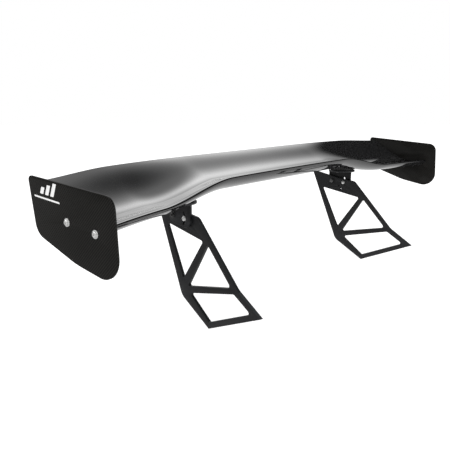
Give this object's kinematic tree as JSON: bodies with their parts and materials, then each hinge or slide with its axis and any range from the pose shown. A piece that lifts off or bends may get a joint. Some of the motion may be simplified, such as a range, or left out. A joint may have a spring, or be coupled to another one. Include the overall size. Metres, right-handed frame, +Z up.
{
  "type": "racing rear wing",
  "caption": "Carbon-fibre racing rear wing: swept, cambered aerofoil with flat endplates on two tilting, swivelling triangulated pedestals.",
  "frame": {"origin": "mid span, mid depth of the whole object, at the height of the pedestals' heels (their lowest corners)", "axes": "+X along the span, +Y to the rear of the car (trailing edge), +Z up"},
  "size_m": [1.712, 0.4302, 0.4462],
  "materials": {
    "gloss_carbon": "clear-coated 2x2 twill carbon, gloss",
    "satin_carbon": "fine-weave carbon sheet, satin",
    "inner_carbon": "uncoated carbon laminate, matt",
    "insert_aluminium": "machined",
    "pad_rubber": "moulded hard rubber, matt",
    "black_anodised": "black anodised, satin",
    "black_steel": "black oxide",
    "bright_steel": "bright stainless"
  },
  "bodies": {
    "wing": {"wing_upper_skin": "gloss_carbon", "wing_lower_skin": "gloss_carbon", "wing_spar": "inner_carbon", "end_rib_left": "insert_aluminium", "hardpoint_left": "insert_aluminium", "endplate_left": "satin_carbon", "mount_pad_left": "pad_rubber", "clamp_screw_inner_left": "black_steel", "clamp_screw_outer_left": "black_steel", "endplate_screw_front_left": "bright_steel", "endplate_screw_rear_left": "bright_steel", "endplate_washer_front_left": "bright_steel", "endplate_washer_rear_left": "bright_steel", "end_rib_right": "insert_aluminium", "hardpoint_right": "insert_aluminium", "endplate_right": "satin_carbon", "mount_pad_right": "pad_rubber", "clamp_screw_inner_right": "black_steel", "clamp_screw_outer_right": "black_steel", "endplate_screw_front_right": "bright_steel", "endplate_screw_rear_right": "bright_steel", "endplate_washer_front_right": "bright_steel", "endplate_washer_rear_right": "bright_steel"},
    "bracket_left": {"swivel_bracket_left": "black_anodised", "pivot_bolt_left": "black_steel", "pivot_washer_left": "black_steel", "pivot_nut_left": "black_steel"},
    "pedestal_left": {"pedestal_left": "black_anodised", "lock_bolt_left": "bright_steel", "lock_washer_left": "bright_steel", "lock_nut_left": "bright_steel"},
    "bracket_right": {"swivel_bracket_right": "black_anodised", "pivot_bolt_right": "black_steel", "pivot_washer_right": "black_steel", "pivot_nut_right": "black_steel"},
    "pedestal_right": {"pedestal_right": "black_anodised", "lock_bolt_right": "bright_steel", "lock_washer_right": "bright_steel", "lock_nut_right": "bright_steel"}
  },
  "joints": [
    {"name": "swivel_left", "type": "hinge", "parent": "wing", "child": "bracket_left", "pos_m": [-0.45345, 0.07956, 0.3425], "axis": [0, 0, 1], "range_deg": [-9, 21]},
    {"name": "tilt_left", "type": "hinge", "parent": "bracket_left", "child": "pedestal_left", "pos_m": [-0.43369, 0.10737, 0.3], "axis": [0.9947, -0.1025, 0], "range_deg": [-18, 18]},
    {"name": "swivel_right", "type": "hinge", "parent": "wing", "child": "bracket_right", "pos_m": [0.45345, 0.07956, 0.3425], "axis": [0, 0, -1], "range_deg": [-9, 21]},
    {"name": "tilt_right", "type": "hinge", "parent": "bracket_right", "child": "pedestal_right", "pos_m": [0.43369, 0.10737, 0.3], "axis": [0.9947, 0.1025, 0], "range_deg": [-18, 18]}
  ],
  "couplings": [
    {"joint": "tilt_right", "follows": "tilt_left", "ratio": 1}
  ]
}
